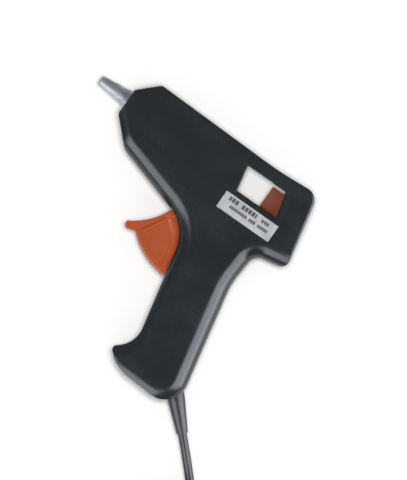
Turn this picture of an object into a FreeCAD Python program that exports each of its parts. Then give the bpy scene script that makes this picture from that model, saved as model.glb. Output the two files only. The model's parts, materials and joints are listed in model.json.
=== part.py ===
import FreeCAD, Part
import math
import os

# A small hot-melt glue gun for 8 mm sticks, lying on its right side. All sizes are in mm.
# +X runs rearward along the barrel, +Y towards the top of the gun, +Z up to the left shell.
# The origin is the middle of the housing and nozzle's footprint, on the right shell's face.

Vector = FreeCAD.Vector
os.makedirs("parts", exist_ok=True)
doc = FreeCAD.newDocument("glue_gun")

# ---------------------------------------------------------------- driving dimensions
DRIVING = [
    ("housing_thickness", 26.0, "both shells together"),
    ("wall", 2.2, "shell wall"),
    ("soft_edge", 8.4, "edge rounding where the hand goes"),
    ("crisp_edge", 1.3, "edge rounding elsewhere"),
    ("barrel_height", 49.8, "Y of the barrel axis"),
    ("stick_bore", 8.6, "hole for an 8 mm stick"),
    ("guide_bore", 8.3, "hole in the rear stick guide"),
    ("nozzle_length", 17.3, "visible cone"),
    ("nozzle_base", 8.8, "cone diameter at the housing"),
    ("nozzle_end", 5.0, "cone diameter at the tip"),
    ("chamber_outside", 13.0, "melt chamber diameter"),
    ("pivot_x", 19.6, "trigger pivot"),
    ("pivot_y", 25.6, "trigger pivot"),
    ("trigger_radius", 38.6, "sector's outer arc"),
    ("trigger_web", 8.8, "trigger web thickness"),
    ("trigger_rim", 10.4, "thickness of the sector's rim"),
    ("trigger_pad", 14.2, "width of the finger pad"),
    ("pivot_pin", 3.0, "pivot pin diameter"),
    ("small_pin", 2.5, "link and carriage pin diameter"),
    ("pawl_pin_size", 1.8, "pawl pin diameter"),
    ("running", 0.07, "radial clearance of a pin in its moving hole"),
    ("arm_x", 22.4, "link pin at rest"),
    ("arm_y", 39.8, "link pin at rest"),
    ("link_length", 16.0, "between the link's two holes"),
    ("link_thickness", 3.0, "feed link"),
    ("screw_shank", 2.6, "shell screws"),
    ("screw_head", 4.6, "shell screws"),
    ("cord_diameter", 4.5, "jacketed mains cord"),
    ("wire_diameter", 1.7, "insulated core"),
    ("label_length", 31.5, "rating label"),
    ("label_width", 9.4, "rating label"),
    ("label_thickness", 0.15, "rating label"),
    ("blade_length", 16.5, "plug blades"),
    ("blade_pitch", 12.7, "between the plug blades"),
]
sheet = doc.addObject("Spreadsheet::Sheet", "sizes")
for row, (alias, value, note) in enumerate(DRIVING, 1):
    sheet.set(f"A{row}", note)
    sheet.set(f"B{row}", str(value))
    sheet.setAlias(f"B{row}", alias)
doc.recompute()


def size(alias):
    return float(sheet.get(alias))


THICK = size("housing_thickness")
MID = THICK / 2
BARREL = size("barrel_height")
AXIS = Vector(0, BARREL, MID)
PIVOT = Vector(size("pivot_x"), size("pivot_y"), MID)
ARM = Vector(size("arm_x"), size("arm_y"), MID)
ALONG_X = Vector(1, 0, 0)
UP = Vector(0, 0, 1)
nodes = {}


# ---------------------------------------------------------------- helpers
def place(base, direction=UP):
    return FreeCAD.Placement(Vector(base), FreeCAD.Rotation(UP, Vector(direction)))


def primitive(kind, name, base=(0, 0, 0), direction=UP, **sizes):
    """A Part primitive. Each size is an expression on the sheet, or a number."""
    thing = doc.addObject(kind, name)
    thing.Placement = place(base, direction)
    for prop, value in sizes.items():
        if isinstance(value, str):
            thing.setExpression(prop, value)
        else:
            setattr(thing, prop, value)
    return thing


def cylinder(name, base, direction, radius, length):
    return primitive("Part::Cylinder", name, base, direction, Radius=radius, Height=length)


def block(name, low, high):
    spans = [b - a for a, b in zip(low, high)]
    return primitive(
        "Part::Box", name, low, UP, Length=spans[0], Width=spans[1], Height=spans[2]
    )


def fused(name, parts):
    joined = doc.addObject("Part::MultiFuse", name)
    joined.Shapes = parts
    joined.Refine = True
    return joined


def cut(name, base, tools):
    """base less its tools."""
    tool = tools[0] if len(tools) == 1 else fused(name + "_tools", tools)
    result = doc.addObject("Part::Cut", name)
    result.Base = base
    result.Tool = tool
    return result


def node(label, thing):
    """Names a finished sub-part."""
    thing.Label = label
    nodes[label] = thing
    return thing


def feature(label, shape):
    """A sub-part whose shape has no primitive or sketch of its own."""
    thing = doc.addObject("Part::Feature", label)
    where = shape.Placement
    thing.Shape = shape
    thing.Placement = where
    return node(label, thing)


def body_plane(body, role):
    return next(f for f in body.Origin.OriginFeatures if f.Role == role)


def sketched_body(label, base, edges, direction=UP):
    """A body with one sketch on its XY plane, and the sketch."""
    body = doc.addObject("PartDesign::Body", label + "_body")
    sketch = body.newObject("Sketcher::SketchObject", label + "_sketch")
    sketch.AttachmentSupport = [(body_plane(body, "XY_Plane"), "")]
    sketch.MapMode = "FlatFace"
    for edge in edges:
        sketch.addGeometry(edge, False)
    body.Placement = place(base, direction)
    return node(label, body), sketch


def padded(label, base, edges, height):
    """A sketch padded upwards by an expression or a number."""
    body, sketch = sketched_body(label, base, edges)
    pad = body.newObject("PartDesign::Pad", label + "_pad")
    pad.Profile = sketch
    if isinstance(height, str):
        pad.setExpression("Length", height)
    else:
        pad.Length = height
    body.Tip = pad
    return body


def closed_lines(points):
    """Line segments round a list of (x, y), closed."""
    corners = [Vector(x, y, 0) for x, y in points]
    return [Part.LineSegment(a, b) for a, b in zip(corners, corners[1:] + corners[:1])]


def ring_edge(x, y, radius):
    return Part.Circle(Vector(x, y, 0), UP, radius)


def prism(wire, low, high):
    """A flat closed wire at Z 0, extruded from low to high."""
    slab = Part.Face(wire).extrude(Vector(0, 0, high - low))
    slab.translate(Vector(0, 0, low))
    return slab


def polygon(points):
    corners = [Vector(x, y, 0) for x, y in points]
    return Part.makePolygon(corners + corners[:1])


def disc(x, y, radius, low, high):
    return Part.makeCylinder(radius, high - low, Vector(x, y, low))


def rod(x0, x1, radius):
    """A cylinder on the barrel axis."""
    return Part.makeCylinder(radius, x1 - x0, Vector(x0, BARREL, MID), ALONG_X)


def solid_box(low, high):
    return Part.makeBox(*[b - a for a, b in zip(low, high)], Vector(*low))


def both_sides(shape):
    """A shape and its mirror image in the parting plane."""
    return [shape, shape.mirror(Vector(0, 0, MID), UP)]


# ---------------------------------------------------------------- housing outline
# x, y and corner radius, counterclockwise from the bottom of the front face
BODY_OUTLINE = [
    (-47.7, 41.1, 3.0),
    (-34.3, 27.5, 12.0),
    (12.5, 13.5, 22.0),
    (25.6, -48.1, 14.0),
    (16.4, -56.4, 2.0),
    (23.8, -63.8, 20.0),
    (61.8, -66.0, 12.0),
    (47.8, 3.5, 40.0),
    (49.2, 21.7, 6.0),
    (66.1, 24.9, 5.0),
    (57.7, 65.1, 7.0),
    (35.0, 63.5, 150.0),
    (-37.6, 65.1, 3.0),
    (-47.7, 55.4, 1.8),
]
# Follows the housing where the hand holds it and stands off elsewhere, so that its large
# rounding shows in full round the handle and fades out at the front, toe, rear and top.
HAND_OUTLINE = [
    (-39.4, 29.0, 16.0),
    (12.5, 13.5, 22.0),
    (22.9, -47.2, 12.0),
    (0.0, -67.8, 9.2),
    (62.6, -69.6, 15.0),
    (47.8, 3.5, 40.0),
    (49.2, 21.7, 6.0),
    (80.0, 27.5, 10.0),
    (80.0, 80.0, 10.0),
    (-60.0, 80.0, 10.0),
    (-60.0, 49.9, 12.0),
]
# The hollow next to each shell's outer face, inside the rounded edges
DEEP_HOLLOW = [
    (-42.5, 42.5),
    (-30.5, 33.0),
    (3.0, 23.0),
    (18.5, 12.0),
    (24.0, -15.0),
    (30.5, -48.0),
    (27.0, -57.5),
    (47.0, -59.0),
    (53.0, -52.0),
    (42.5, 0.0),
    (42.8, 27.5),
    (60.0, 30.5),
    (53.5, 60.5),
    (34.0, 58.8),
    (-36.5, 60.4),
    (-42.5, 54.5),
]
WINDOW = [
    (20.6, 57.1, 0.5),
    (23.3, 43.3, 0.5),
    (47.3, 43.3, 0.5),
    (43.7, 57.1, 0.5),
]


def rounded(corners):
    """A closed wire of straight lines and tangent arcs."""
    count = len(corners)
    points = [Vector(x, y, 0) for x, y, _ in corners]
    starts, middles, ends = [], [], []
    for i, (_, _, radius) in enumerate(corners):
        back = (points[i - 1] - points[i]).normalize()
        ahead = (points[(i + 1) % count] - points[i]).normalize()
        half = back.getAngle(ahead) / 2
        reach = radius / math.tan(half)
        starts.append(points[i] + back * reach)
        ends.append(points[i] + ahead * reach)
        inward = (back + ahead).normalize()
        middles.append(points[i] + inward * (radius / math.sin(half) - radius))
    edges = []
    for i in range(count):
        edges.append(Part.Arc(starts[i], middles[i], ends[i]).toShape())
        edges.append(Part.LineSegment(ends[i], starts[(i + 1) % count]).toShape())
    return Part.Wire(edges)


def inset(corners, depth):
    """The same outline moved inward by depth, or outward if it is negative."""
    count = len(corners)
    points = [Vector(x, y, 0) for x, y, _ in corners]
    moved = []
    for i, (_, _, radius) in enumerate(corners):
        arriving = (points[i] - points[i - 1]).normalize()
        leaving = (points[(i + 1) % count] - points[i]).normalize()
        turn = arriving.cross(leaving).z
        inward_a = Vector(-arriving.y, arriving.x, 0)
        inward_b = Vector(-leaving.y, leaving.x, 0)
        spread = (inward_a + inward_b) * (depth / (1 + inward_a.dot(inward_b)))
        corner = points[i] + spread
        kept = radius - depth if turn > 0 else radius + depth
        moved.append((corner.x, corner.y, max(kept, 0.3)))
    return moved


def soft_slab(corners, edge_radius):
    slab = prism(rounded(corners), 0, THICK)
    flat_edges = [e for e in slab.Edges if e.BoundBox.ZLength < 1e-6]
    return slab.makeFillet(edge_radius, flat_edges)


# ---------------------------------------------------------------- housing
SCREWS = [
    (-30.0, 60.1),
    (-22.0, 31.5),
    (56.5, 31.5),
    (50.5, 60.6),
    (37.0, -22.0),
    (28.5, -55.5),
]
BOSS_RADIUS = 3.3
SKIN = 1.0  # bosses and ribs start this far inside the outer face
FACE = 2.0  # thickness of the flat sides
HEAD_FACE = 4.0  # Z of the seat under the screw heads
PILOT_END = 21.0
FRONT_WALL = (-44.0, -39.5)
REAR_WALL = (-1.9, 1.4)
WALL_TOP = 63.0
FRONT_WALL_LOW = 38.0
REAR_WALL_LOW = 41.8
GUIDE_WALL_Y = (41.0, 59.0)
WINDOW_RIM = 1.3
WINDOW_BEVEL = 0.6
# The carriage's wings slide on this ledge, from front to rear and from low to high
LEDGE_X = (33.0, 53.0)
LEDGE_Y = (38.3, 39.6)
# Where the slot for the trigger is open to the outside
TRIGGER_MOUTH = [(0.7, 12.0), (0.7, 24.0), (30, 24), (45, -20), (14, -30), (-40, -30), (-40, 12.0)]
FAR = 90  # beyond the housing on every side
FRONT_RING = (-43.0, -40.5)
REAR_RING = (-1.5, 1.0)
FRONT_RING_RADIUS = 7.6
REAR_RING_RADIUS = 8.3
CHAMBER_GAP = 7.0
RIM_DEPTH = 6.9  # Z where the window's rims end
RIM_START = 6.0  # Z from where the hollow follows the outline
SLOT_HALF = 7.6
SLOT_CLEARANCE = 0.6
HUB_BOSS = (3.8, 7.4)  # radius, and Z where it ends
GUIDE_START = 53.9
GUIDE_WALL_END = 56.9
GUIDE_END = 59.8
GUIDE_RADIUS = 6.1
GUIDE_FLANGE = (57.2, 58.8)
GUIDE_FLANGE_RADIUS = 7.0
NOZZLE_HOLE_RADIUS = 4.9
SEAM = 0.4  # width of the groove where the shells meet
SEAM_DEPTH = 0.3
DIMPLE = (1.5, 31.2)
DIMPLE_RADIUS = 2.0
DIMPLE_DEPTH = 0.6
COUNTERBORE_RADIUS = 2.5
SCREW_HOLE_RADIUS = 1.6
SPRING_POST_TOP = 14.6
CLAMP_POST_TOP = 15.2
CLAMP_POST_RADIUS = 2.3
CLAMP_PILOT_START = 7.0
CLAMP_SCREW_RADIUS = 1.0
SPRING_POST = (56.0, 38.0)
EXIT = Vector(57.9, -59.5, MID)  # where the strain relief's taper starts
CORD_OUT = Vector(1, -1, 0).normalize()
CORD_SIDE = Vector(1, 1, 0).normalize()
CLAMP_AT = EXIT - CORD_OUT * 14.0
CLAMP_REACH = 5.6
BOOT_RADIUS = 4.5
BOOT_NECK = 7.9  # how far the boot's neck reaches into the housing


def clamp_post(side):
    return CLAMP_AT + CORD_SIDE * (CLAMP_REACH * side)


def saddle(x_range, y_low):
    """A wall across both shells that holds a ring round the melt chamber."""
    wall_box = solid_box((x_range[0], y_low, SKIN), (x_range[1], WALL_TOP, THICK - SKIN))
    return wall_box.cut(rod(x_range[0] - 1, x_range[1] + 1, CHAMBER_GAP))


def housing_inside():
    """Ribs, rims and bosses of both shells."""
    guide_wall = solid_box(
        (GUIDE_START, GUIDE_WALL_Y[0], SKIN), (GUIDE_WALL_END, GUIDE_WALL_Y[1], THICK - SKIN)
    )
    inside = [
        saddle(FRONT_WALL, FRONT_WALL_LOW),
        saddle(REAR_WALL, REAR_WALL_LOW),
        guide_wall.cut(rod(GUIDE_START - 1, GUIDE_WALL_END + 1, GUIDE_RADIUS)),
    ]
    window = prism(rounded(WINDOW), 0, THICK)
    rim = prism(rounded(inset(WINDOW, -WINDOW_RIM)), SKIN, RIM_DEPTH).cut(window)
    ledge = solid_box((LEDGE_X[0], LEDGE_Y[0], SKIN), (LEDGE_X[1], LEDGE_Y[1], RIM_DEPTH))
    hub_boss = disc(PIVOT.x, PIVOT.y, HUB_BOSS[0], SKIN, HUB_BOSS[1])
    for shape in (rim, ledge, hub_boss):
        inside += both_sides(shape)
    for x, y in SCREWS:
        inside.append(disc(x, y, BOSS_RADIUS, SKIN, THICK - SKIN))
    return inside


def housing_holes():
    """What is cut through both shells."""
    holes = [prism(rounded(WINDOW), -1, THICK + 1)]
    for z, beyond in ((WINDOW_BEVEL, -0.01), (THICK - WINDOW_BEVEL, THICK + 0.01)):
        inner = rounded(WINDOW)
        inner.translate(Vector(0, 0, z))
        outer = rounded(inset(WINDOW, -WINDOW_BEVEL))
        outer.translate(Vector(0, 0, beyond))
        holes.append(Part.makeLoft([inner, outer], True))
    swept = size("trigger_radius") + SLOT_CLEARANCE
    sweep = disc(PIVOT.x, PIVOT.y, swept, MID - SLOT_HALF, MID + SLOT_HALF)
    holes.append(sweep.common(prism(polygon(TRIGGER_MOUTH), 0, THICK)))
    holes.append(rod(-FAR, FRONT_WALL[0], NOZZLE_HOLE_RADIUS))
    holes.append(rod(*FRONT_RING, FRONT_RING_RADIUS))
    holes.append(rod(*REAR_RING, REAR_RING_RADIUS))
    holes.append(rod(GUIDE_START - 1, FAR, GUIDE_RADIUS))
    holes.append(rod(*GUIDE_FLANGE, GUIDE_FLANGE_RADIUS))
    start = EXIT - CORD_OUT * BOOT_NECK
    holes.append(Part.makeCylinder(BOOT_RADIUS, BOOT_NECK + 6.0, start, CORD_OUT))
    holes.append(disc(PIVOT.x, PIVOT.y, size("pivot_pin") / 2, FACE, THICK - FACE))
    outline = prism(rounded(inset(BODY_OUTLINE, -1)), MID - SEAM / 2, MID + SEAM / 2)
    holes.append(outline.cut(prism(rounded(inset(BODY_OUTLINE, SEAM_DEPTH)), 0, THICK)))
    return holes


def housing():
    outer = soft_slab(BODY_OUTLINE, size("crisp_edge"))
    outer = outer.common(soft_slab(HAND_OUTLINE, size("soft_edge")))
    middle = prism(rounded(inset(BODY_OUTLINE, size("wall"))), RIM_START, THICK - RIM_START)
    deep = prism(polygon(DEEP_HOLLOW), FACE, THICK - FACE)
    hollow = outer.cut([middle, deep])
    ribs = Part.makeCompound(housing_inside()).common(outer)
    return hollow.fuse(ribs.Solids).cut(housing_holes())


def left_shell(whole):
    shell = whole.common(solid_box((-FAR, -FAR, MID), (FAR, FAR, THICK + 5)))
    pilots = [disc(x, y, size("screw_shank") / 2, MID, PILOT_END) for x, y in SCREWS]
    dimple = disc(*DIMPLE, DIMPLE_RADIUS, THICK - DIMPLE_DEPTH, THICK)
    return shell.cut(pilots + [dimple]).removeSplitter()


def right_shell(whole):
    shell = whole.common(solid_box((-FAR, -FAR, -5), (FAR, FAR, MID)))
    posts = [disc(*SPRING_POST, 1.0, SKIN, SPRING_POST_TOP)]
    for side in (-1, 1):
        at = clamp_post(side)
        posts.append(disc(at.x, at.y, CLAMP_POST_RADIUS, SKIN, CLAMP_POST_TOP))
    for post in posts:
        shell = shell.fuse(post)
    for x, y in SCREWS:
        shell = shell.cut(disc(x, y, SCREW_HOLE_RADIUS, -1, MID + 1))
        shell = shell.cut(disc(x, y, COUNTERBORE_RADIUS, -1, HEAD_FACE))
    for side in (-1, 1):
        at = clamp_post(side)
        shell = shell.cut(disc(at.x, at.y, CLAMP_SCREW_RADIUS, CLAMP_PILOT_START, THICK))
    return shell.removeSplitter()


whole_housing = housing()
feature("left_shell", left_shell(whole_housing.copy()))
feature("right_shell", right_shell(whole_housing.copy()))


def screw(x, y, seat, shank_radius, shank_length, head_radius, head_height, inward):
    """A pan head screw with a cross recess. inward is +1 if it points up."""
    axis = Vector(0, 0, inward)
    base = Vector(x, y, seat)
    shank = Part.makeCylinder(shank_radius, shank_length, base, axis)
    head = Part.makeCylinder(head_radius, head_height, base, -axis)
    rim = [e for e in head.Edges if abs(e.BoundBox.ZMax - seat + inward * head_height) < 0.01]
    head = head.makeFillet(head_height * 0.4, rim[:1])
    top = seat - inward * head_height
    reach = head_radius * 0.55
    slot = head_radius * 0.16
    depth = head_height * 0.6
    low, high = sorted((top - inward * 0.1, top + inward * depth))
    cross = [
        solid_box((x - reach, y - slot, low), (x + reach, y + slot, high)),
        solid_box((x - slot, y - reach, low), (x + slot, y + reach, high)),
    ]
    return shank.fuse(head).cut(cross)


SCREW_LENGTH = 16.0
SCREW_HEAD_HEIGHT = 1.8


def shell_screws():
    shank = size("screw_shank") / 2
    head = size("screw_head") / 2
    return [
        screw(x, y, HEAD_FACE, shank, SCREW_LENGTH, head, SCREW_HEAD_HEIGHT, 1) for x, y in SCREWS
    ]


feature("shell_screws", Part.makeCompound(shell_screws()))

LABEL_CORNER = (19.1, 31.1, THICK)
label_corners = [(0, 0), (size("label_length"), 0)]
label_corners += [(size("label_length"), size("label_width")), (0, size("label_width"))]
padded("rating_label", LABEL_CORNER, closed_lines(label_corners), "sizes.label_thickness")

# ---------------------------------------------------------------- nozzle and its valve
TIP = -65.0
NOZZLE_SEAT = TIP + size("nozzle_length")
SOCKET_END = -38.5  # floor of the chamber's socket, where the valve seat is
SHANK_END = -39.5
SPRING_FLOOR = -52.0
NOZZLE_SHANK = 3.6
NOZZLE_COLLAR = 1.2  # length of full-width base inside the housing
ORIFICE_RADIUS = 0.8
TIP_BEVEL = 0.4
SPRING_BORE = 2.0
BALL_RADIUS = 1.5
BALL_X = -39.56
VALVE_COIL_RADIUS = 1.2
VALVE_WIRE = 0.4
VALVE_PITCH = 1.5
VALVE_TURNS = 7


def nozzle():
    """A turned cone with a threaded shank, as a revolved sketch about its own X axis."""
    end_r = size("nozzle_end") / 2
    base_r = size("nozzle_base") / 2
    profile = [
        (TIP, ORIFICE_RADIUS),
        (TIP, end_r - TIP_BEVEL),
        (TIP + TIP_BEVEL, end_r),
        (NOZZLE_SEAT, base_r),
        (NOZZLE_SEAT + NOZZLE_COLLAR, base_r),
        (NOZZLE_SEAT + NOZZLE_COLLAR, NOZZLE_SHANK),
        (SHANK_END, NOZZLE_SHANK),
        (SHANK_END, SPRING_BORE),
        (SPRING_FLOOR, SPRING_BORE),
        (SPRING_FLOOR, ORIFICE_RADIUS),
    ]
    body, sketch = sketched_body("nozzle", AXIS, closed_lines(profile))
    turned = body.newObject("PartDesign::Revolution", "nozzle_turned")
    turned.Profile = sketch
    turned.ReferenceAxis = (sketch, ["H_Axis"])
    turned.Angle = 360.0
    body.Tip = turned


def coil_spring(radius, wire, pitch, turns, start, direction, ends=()):
    """A helical spring from start along direction, with any end pieces fused on."""
    path = Part.makeHelix(pitch, pitch * turns, radius)
    section = Part.Wire(Part.makeCircle(wire / 2, Vector(radius, 0, 0), Vector(0, 1, 0)))
    spring = Part.Wire(path.Edges).makePipeShell([section], True, True)
    spring.Placement = place(start, direction)
    return spring.fuse(list(ends)) if ends else spring


nozzle()
ball = primitive("Part::Sphere", "valve_ball_sphere", (BALL_X, BARREL, MID), UP, Radius=BALL_RADIUS)
node("valve_ball", ball)
spring_start = Vector(SPRING_FLOOR + VALVE_WIRE, BARREL, MID)
feature(
    "valve_spring",
    coil_spring(VALVE_COIL_RADIUS, VALVE_WIRE, VALVE_PITCH, VALVE_TURNS, spring_start, ALONG_X),
)

# ---------------------------------------------------------------- melt chamber and heater
CHAMBER_FRONT = -43.3
CHAMBER_STEP = 4.5
CHAMBER_END = 9.0
SPIGOT_RADIUS = 5.2
BORE_FRONT = -30.0
THROAT_LENGTH = 5.0
OUTLET_RADIUS = 1.1
PAD_X = (-27.0, -3.0)
PAD_HALF_WIDTH = 4.4
PAD_FACE = 40.6  # Y of the chamber's flat heater seat
STACK_HALF = 3.3
HEATER_HALF = 3.0
HEATER_X = (-22.0, -7.0)
PLATE_X = (-23.0, -4.0)
TAB_END = 4.0
TAB_HALF = 1.2
TAB_SHIFT = 1.9  # the two tabs lie this far each side of the middle
FILM = 0.3
PLATE = 0.4
HEATER_THICK = 2.4
CLIP_X = (-19.5, -9.5)
CLIP_STEEL = 0.8
SLACK = 0.1


def melt_chamber():
    barrel = cylinder(
        "chamber_barrel", (CHAMBER_FRONT, BARREL, MID), ALONG_X,
        "sizes.chamber_outside / 2", CHAMBER_STEP - CHAMBER_FRONT,
    )
    spigot = cylinder(
        "chamber_spigot", (CHAMBER_STEP, BARREL, MID), ALONG_X,
        SPIGOT_RADIUS, CHAMBER_END - CHAMBER_STEP,
    )
    pad = block(
        "chamber_pad",
        (PAD_X[0], PAD_FACE, MID - PAD_HALF_WIDTH), (PAD_X[1], BARREL, MID + PAD_HALF_WIDTH),
    )
    bore = cylinder(
        "chamber_bore", (BORE_FRONT, BARREL, MID), ALONG_X,
        "sizes.stick_bore / 2", CHAMBER_END - BORE_FRONT + 1,
    )
    throat_start = BORE_FRONT - THROAT_LENGTH
    throat = primitive(
        "Part::Cone", "chamber_throat", (throat_start, BARREL, MID), ALONG_X,
        Radius1=OUTLET_RADIUS, Radius2="sizes.stick_bore / 2", Height=THROAT_LENGTH,
    )
    outlet = cylinder(
        "chamber_outlet", (SOCKET_END - 1, BARREL, MID), ALONG_X,
        OUTLET_RADIUS, throat_start - SOCKET_END + 2,
    )
    socket = cylinder(
        "chamber_socket", (CHAMBER_FRONT - 1, BARREL, MID), ALONG_X,
        NOZZLE_SHANK, SOCKET_END - CHAMBER_FRONT + 1,
    )
    solid = fused("chamber_solid", [barrel, spigot, pad])
    node("melt_chamber", cut("chamber_cut", solid, [bore, throat, outlet, socket]))


def ring_on_axis(label, span, inner, outer):
    """A plain ring round the barrel axis, from span[0] to span[1]."""
    length = span[1] - span[0]
    outside = cylinder(label + "_outside", (span[0], BARREL, MID), ALONG_X, outer, length)
    inside = cylinder(label + "_inside", (span[0] - 1, BARREL, MID), ALONG_X, inner, length + 2)
    return cut(label + "_cut", outside, [inside])


def contact_plate(label, y, tab_z):
    """A strip on the heater's face, with a tab for its wire. The sketch is in X and Z."""
    x0, x1 = PLATE_X
    outline = [
        (x0, -STACK_HALF),
        (x1, -STACK_HALF),
        (x1, tab_z - TAB_HALF),
        (TAB_END, tab_z - TAB_HALF),
        (TAB_END, tab_z + TAB_HALF),
        (x1, tab_z + TAB_HALF),
        (x1, STACK_HALF),
        (x0, STACK_HALF),
    ]
    strip = prism(polygon(outline), 0, PLATE)
    strip.rotate(Vector(0, 0, 0), ALONG_X, 90)
    strip.translate(Vector(0, y + PLATE, MID))
    feature(label, strip)


def heater_stack():
    top = PAD_FACE - FILM
    upper = top - PLATE
    heater_low = upper - HEATER_THICK
    lower = heater_low - PLATE
    contact_plate("contact_plate_upper", upper, TAB_SHIFT)
    contact_plate("contact_plate_lower", lower, -TAB_SHIFT)
    stone = block(
        "heater_stone",
        (HEATER_X[0], heater_low, MID - HEATER_HALF), (HEATER_X[1], upper, MID + HEATER_HALF),
    )
    node("ptc_heater", stone)
    side = STACK_HALF + SLACK
    sleeve = block(
        "film_outside",
        (PLATE_X[0] - 0.5, lower - FILM, MID - side - FILM),
        (PLATE_X[1] - 0.5, PAD_FACE, MID + side + FILM),
    )
    room = block(
        "film_inside", (PLATE_X[0] - 2, lower, MID - side), (PLATE_X[1] + 2, top, MID + side)
    )
    node("heater_insulation", cut("film_cut", sleeve, [room]))
    low = lower - FILM
    half = size("chamber_outside") / 2 + SLACK
    high = BARREL + half
    band = block(
        "clip_outside",
        (CLIP_X[0], low - CLIP_STEEL, MID - half - CLIP_STEEL),
        (CLIP_X[1], high + CLIP_STEEL, MID + half + CLIP_STEEL),
    )
    hole = block(
        "clip_inside", (CLIP_X[0] - 1, low, MID - half), (CLIP_X[1] + 1, high, MID + half)
    )
    node("heater_clip", cut("clip_cut", band, [hole]))
    return upper + PLATE / 2, lower + PLATE / 2


melt_chamber()
around_chamber = "sizes.chamber_outside / 2"
node("front_support_ring", ring_on_axis("front_ring", FRONT_RING, around_chamber, FRONT_RING_RADIUS))
node("rear_support_ring", ring_on_axis("rear_ring", REAR_RING, around_chamber, REAR_RING_RADIUS))
upper_tab, lower_tab = heater_stack()

# ---------------------------------------------------------------- stick path behind the chamber
SLEEVE_START = 4.7
SLEEVE_END = 19.0
SLEEVE_RADIUS = 6.6  # over the spigot
SLEEVE_WAIST = 5.7  # behind it
SLEEVE_TAPER = (11.0, 12.0)
SLEEVE_BEVEL = 0.6
BAND_X = (5.8, 8.3)
BAND_RADIUS = 7.3


def inlet_sleeve():
    """A silicone tube over the chamber's spigot, revolved about the barrel axis."""
    bore = size("stick_bore") / 2
    profile = [
        (SLEEVE_START, SPIGOT_RADIUS),
        (SLEEVE_START, SLEEVE_RADIUS),
        (SLEEVE_TAPER[0], SLEEVE_RADIUS),
        (SLEEVE_TAPER[1], SLEEVE_WAIST),
        (SLEEVE_END, SLEEVE_WAIST),
        (SLEEVE_END, bore + SLEEVE_BEVEL),
        (SLEEVE_END - SLEEVE_BEVEL, bore),
        (CHAMBER_END, bore),
        (CHAMBER_END, SPIGOT_RADIUS),
    ]
    body, sketch = sketched_body("inlet_sleeve", AXIS, closed_lines(profile))
    turned = body.newObject("PartDesign::Revolution", "sleeve_turned")
    turned.Profile = sketch
    turned.ReferenceAxis = (sketch, ["H_Axis"])
    turned.Angle = 360.0
    body.Tip = turned


inlet_sleeve()
node("sleeve_clamp", ring_on_axis("clamp_band", BAND_X, SLEEVE_RADIUS, BAND_RADIUS))
guide = fused(
    "guide_solid",
    [
        cylinder(
            "guide_tube", (GUIDE_START, BARREL, MID), ALONG_X, GUIDE_RADIUS, GUIDE_END - GUIDE_START
        ),
        cylinder(
            "guide_flange", (GUIDE_FLANGE[0], BARREL, MID), ALONG_X,
            GUIDE_FLANGE_RADIUS, GUIDE_FLANGE[1] - GUIDE_FLANGE[0],
        ),
    ],
)
guide_hole = cylinder("guide_hole", (50, BARREL, MID), ALONG_X, "sizes.guide_bore / 2", 15)
node("stick_guide", cut("guide_cut", guide, [guide_hole]))

# ---------------------------------------------------------------- trigger
PAD_TOP = Vector(1.6, 16.6, 0)
PAD_MIDDLE = Vector(-4.9, 6.3, 0)
PAD_TIP = Vector(-14.0, -0.7, 0)
LIP = Vector(-12.2, -4.1, 0)
SECTOR_START = Vector(-6.9, -2.4, 0)
SECTOR_END_DEG = 276.0
PAD_ROUNDING = 0.6
PAD_TIP_ROUNDING = 1.4
HUB_RADIUS = 5.5
HUB_HALF = 5.3
EAR_INNER = 1.9
EAR_OUTER = 4.6
ARM_END = 3.0
INNER_TOP = Vector(2.9, 15.2, 0)
RIM_WIDTH = 3.0
RIM_ROUNDING = 1.2
WEB_INSET = 0.5  # the web's edge lies this far inside the rim's
FRONT_SHIFT = 0.6
RIDGE_HEIGHT = 0.6  # how far the ridges stand proud of the web
RIDGE_CENTRE = Vector(-6.3, -3.8, 0)  # of the housing's own curve beside the sector
RIDGE_PATH = 19.8
RIDGE_SECTION = 3.5
RIDGE_START_DEG = 11.9  # where the housing's edge turns from straight to curved
RIDGE_SWEEP_DEG = 66.0
RIDGE_TAIL = 16.0
BEAD_SECTION = 1.4
BEAD_OFFSET = 1.4
BEAD_OVERRUN = 2.0


def on_arc(degrees, radius):
    turn = math.radians(degrees)
    return Vector(PIVOT.x + radius * math.cos(turn), PIVOT.y + radius * math.sin(turn), 0)


def trigger_web(radius, front_shift):
    """The sector plate between the finger pad and its rear edge."""
    arc_from = on_arc(226.5, radius)
    arc_mid = on_arc(250.0, radius)
    arc_to = on_arc(SECTOR_END_DEG, radius)
    shoulder = Vector(17.0, 30.5, 0)
    rear = Vector(25.0, 23.5, 0)
    start = PAD_TOP + Vector(front_shift, 0, 0)
    edges = [
        Part.LineSegment(start, arc_from).toShape(),
        Part.Arc(arc_from, arc_mid, arc_to).toShape(),
        Part.LineSegment(arc_to, rear).toShape(),
        Part.LineSegment(rear, shoulder).toShape(),
        Part.LineSegment(shoulder, start).toShape(),
    ]
    return Part.Wire(edges)


def trigger_pad():
    """The finger pad: a hollow front face with a hooked lip."""
    edges = [
        Part.Arc(PAD_TOP, PAD_MIDDLE, PAD_TIP).toShape(),
        Part.LineSegment(PAD_TIP, LIP).toShape(),
        Part.LineSegment(LIP, SECTOR_START).toShape(),
        Part.LineSegment(SECTOR_START, INNER_TOP).toShape(),
        Part.LineSegment(INNER_TOP, PAD_TOP).toShape(),
    ]
    half = size("trigger_pad") / 2
    pad = prism(Part.Wire(edges), MID - half, MID + half)
    tip_edges = [
        e for e in pad.Edges
        if any((e.CenterOfMass - Vector(p.x, p.y, MID)).Length < 0.1 for p in (PAD_TIP, LIP))
    ]
    pad = pad.makeFillet(PAD_TIP_ROUNDING, tip_edges)
    return pad.makeFillet(PAD_ROUNDING, [e for e in pad.Edges if e.BoundBox.ZLength < 1e-6])


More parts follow.
